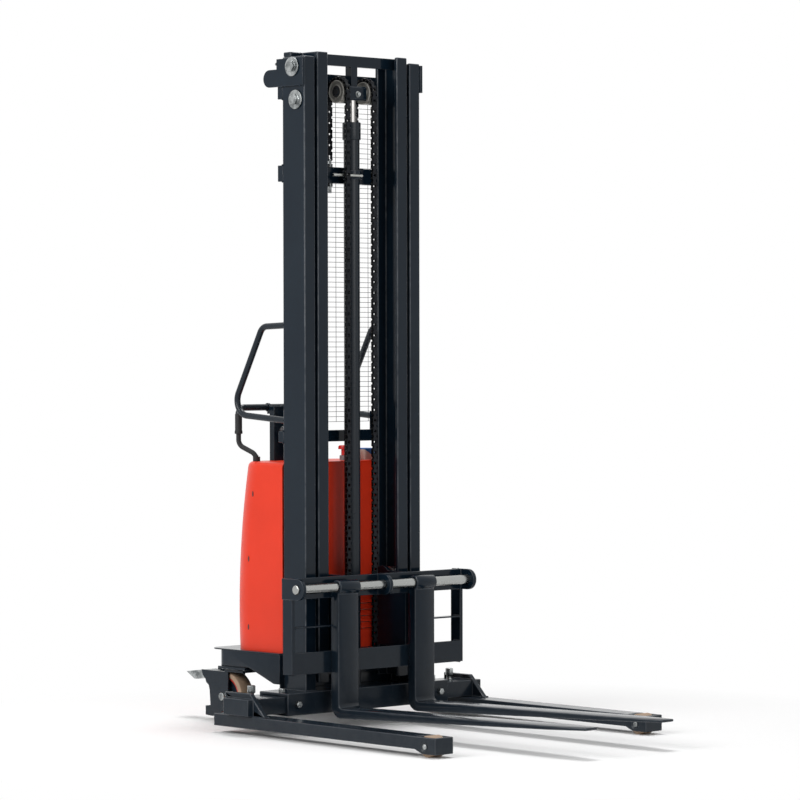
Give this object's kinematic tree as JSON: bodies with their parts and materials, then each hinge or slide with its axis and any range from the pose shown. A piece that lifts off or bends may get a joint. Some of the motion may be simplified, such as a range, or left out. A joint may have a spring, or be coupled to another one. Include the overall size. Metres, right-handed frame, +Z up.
{
  "type": "straddle stacker",
  "caption": "Walk-behind straddle stacker with telescopic mast, chain-lifted fork carriage, adjustable straddle legs, swivel casters, push handle and covered power unit.",
  "frame": {"origin": "middle of the footprint, on the floor", "axes": "+Z up along the mast, forks and straddle legs towards -Y, operator's handle towards +Y, +X to the operator's left"},
  "size_m": [0.942, 1.649, 2],
  "materials": {
    "frame_paint": "satin powder coat, dark blue-grey",
    "red_paint": "satin powder coat, bright red",
    "zinc": "zinc-plated steel",
    "chrome": "polished chrome",
    "steel": "turned steel",
    "chain_steel": "oiled steel",
    "mesh_wire": "satin dark coat",
    "pad_plastic": "moulded nylon",
    "tread": "tan polyurethane tread on a red hub",
    "black_rubber": "matt",
    "black_plastic": "matt",
    "beige_plastic": "satin",
    "red_plastic": "gloss",
    "grey_plastic": "matt",
    "tank_plastic": "translucent white polyethylene",
    "aluminium": "machined"
  },
  "bodies": {
    "chassis": {"leg_sleeve": "frame_paint", "chassis_frame": "frame_paint", "deck_plate": "frame_paint", "outer_mast": "frame_paint", "outer_crossmembers": "frame_paint", "mast_side_plates": "frame_paint", "lift_cylinder": "frame_paint", "cylinder_clamp": "frame_paint", "handrail_left": "frame_paint", "handrail_right": "frame_paint", "control_column": "frame_paint", "handle_bar": "frame_paint", "caster_plates": "frame_paint", "pump_motor": "frame_paint", "cover_shell": "red_paint", "cover_front_panel": "red_paint", "leg_clamp_bolts": "zinc", "guide_bolts": "zinc", "chain_anchors": "zinc", "cylinder_gland": "steel", "rear_chains": "chain_steel", "mesh_guard": "mesh_wire", "guide_pads": "pad_plastic", "handle_grip": "black_rubber", "control_cable": "black_rubber", "hydraulic_hose": "black_rubber", "battery": "black_plastic", "control_pod": "beige_plastic", "estop_base": "grey_plastic", "charger": "grey_plastic", "hydraulic_tank": "tank_plastic", "valve_block": "aluminium"},
    "inner_mast": {"inner_mast": "frame_paint", "inner_crossmembers": "frame_paint", "piston_rod": "chrome", "crosshead": "frame_paint", "front_chains": "chain_steel"},
    "chain_pulleys": {"chain_pulleys": "zinc"},
    "inner_rollers": {"inner_rollers": "steel"},
    "carriage": {"carriage_frame": "frame_paint", "fork_shaft": "zinc"},
    "carriage_rollers_lower": {"carriage_rollers_lower": "steel"},
    "carriage_rollers_upper": {"carriage_rollers_upper": "steel"},
    "estop_button": {"estop_button": "red_plastic"},
    "key": {"key": "steel"},
    "lift_rocker": {"lift_rocker": "black_plastic"},
    "fork_left": {"fork_left": "frame_paint"},
    "leg_left": {"leg_left": "frame_paint", "load_axle_left": "zinc"},
    "load_wheel_left": {"load_wheel_left": "tread"},
    "caster_left": {"caster_yoke_left": "frame_paint"},
    "caster_wheel_left": {"caster_wheel_left": "tread"},
    "brake_pedal_left": {"brake_pedal_left": "zinc"},
    "fork_right": {"fork_right": "frame_paint"},
    "leg_right": {"leg_right": "frame_paint", "load_axle_right": "zinc"},
    "load_wheel_right": {"load_wheel_right": "tread"},
    "caster_right": {"caster_yoke_right": "frame_paint"},
    "caster_wheel_right": {"caster_wheel_right": "tread"},
    "brake_pedal_right": {"brake_pedal_right": "zinc"}
  },
  "joints": [
    {"name": "mast_lift", "type": "slide", "parent": "chassis", "child": "inner_mast", "axis": [0, 0, 1], "range_m": [0, 1.4], "deforming": ["rear_chains"]},
    {"name": "carriage_lift", "type": "slide", "parent": "inner_mast", "child": "carriage", "axis": [0, 0, 1], "range_m": [0, 1.4], "deforming": ["front_chains"]},
    {"name": "pulley_spin", "type": "hinge", "parent": "inner_mast", "child": "chain_pulleys", "pos_m": [0, 0.317, 1.89], "axis": [-1, 0, 0], "range_deg": [0, 1992]},
    {"name": "inner_roller_spin", "type": "hinge", "parent": "inner_mast", "child": "inner_rollers", "pos_m": [0, 0.3155, 0.206], "axis": [-1, 0, 0], "range_deg": [0, 2199]},
    {"name": "carriage_roller_lower_spin", "type": "hinge", "parent": "carriage", "child": "carriage_rollers_lower", "pos_m": [0, 0.3155, 0.27], "axis": [-1, 0, 0], "range_deg": [0, 2199]},
    {"name": "carriage_roller_upper_spin", "type": "hinge", "parent": "carriage", "child": "carriage_rollers_upper", "pos_m": [0, 0.3155, 0.43], "axis": [1, 0, 0], "range_deg": [0, 2199]},
    {"name": "fork_slide_left", "type": "slide", "parent": "carriage", "child": "fork_left", "axis": [1, 0, 0], "range_m": [-0.09, 0.14]},
    {"name": "fork_slide_right", "type": "slide", "parent": "carriage", "child": "fork_right", "axis": [-1, 0, 0], "range_m": [-0.09, 0.14]},
    {"name": "leg_slide_left", "type": "slide", "parent": "chassis", "child": "leg_left", "axis": [1, 0, 0], "range_m": [-0.06, 0.12]},
    {"name": "leg_slide_right", "type": "slide", "parent": "chassis", "child": "leg_right", "axis": [-1, 0, 0], "range_m": [-0.06, 0.12]},
    {"name": "estop_push", "type": "slide", "parent": "chassis", "child": "estop_button", "axis": [0, 0, -1], "range_m": [0, 0.008]},
    {"name": "key_turn", "type": "hinge", "parent": "chassis", "child": "key", "pos_m": [-0.072, 0.5545, 0.879], "axis": [0, -1, 0], "range_deg": [-90, 0]},
    {"name": "rocker_tip", "type": "hinge", "parent": "chassis", "child": "lift_rocker", "pos_m": [0, 0.5542, 0.905], "axis": [1, 0, 0], "range_deg": [-10, 10], "stiffness_Nm_per_rad": 0.5},
    {"name": "load_wheel_spin_left", "type": "hinge", "parent": "leg_left", "child": "load_wheel_left", "pos_m": [0.4215, -0.478, 0.03], "axis": [1, 0, 0], "continuous": true},
    {"name": "caster_swivel_left", "type": "hinge", "parent": "chassis", "child": "caster_left", "pos_m": [0.205, 0.5865, 0.16], "axis": [0, 0, 1], "range_deg": [-140, 140]},
    {"name": "caster_spin_left", "type": "hinge", "parent": "caster_left", "child": "caster_wheel_left", "pos_m": [0.205, 0.6365, 0.075], "axis": [1, 0, 0], "continuous": true},
    {"name": "pedal_tip_left", "type": "hinge", "parent": "caster_left", "child": "brake_pedal_left", "pos_m": [0.205, 0.7235, 0.138], "axis": [1, 0, 0], "range_deg": [-15, 0]},
    {"name": "load_wheel_spin_right", "type": "hinge", "parent": "leg_right", "child": "load_wheel_right", "pos_m": [-0.4215, -0.478, 0.03], "axis": [1, 0, 0], "continuous": true},
    {"name": "caster_swivel_right", "type": "hinge", "parent": "chassis", "child": "caster_right", "pos_m": [-0.205, 0.5865, 0.16], "axis": [0, 0, 1], "range_deg": [-140, 140]},
    {"name": "caster_spin_right", "type": "hinge", "parent": "caster_right", "child": "caster_wheel_right", "pos_m": [-0.205, 0.6365, 0.075], "axis": [1, 0, 0], "continuous": true},
    {"name": "pedal_tip_right", "type": "hinge", "parent": "caster_right", "child": "brake_pedal_right", "pos_m": [-0.205, 0.7235, 0.138], "axis": [1, 0, 0], "range_deg": [-15, 0]}
  ],
  "couplings": [
    {"joint": "carriage_lift", "follows": "mast_lift", "ratio": 1},
    {"joint": "pulley_spin", "follows": "mast_lift", "rad_per_m": 24.814},
    {"joint": "inner_roller_spin", "follows": "mast_lift", "rad_per_m": 27.397},
    {"joint": "carriage_roller_lower_spin", "follows": "mast_lift", "rad_per_m": 27.397},
    {"joint": "carriage_roller_upper_spin", "follows": "mast_lift", "rad_per_m": 27.397}
  ]
}
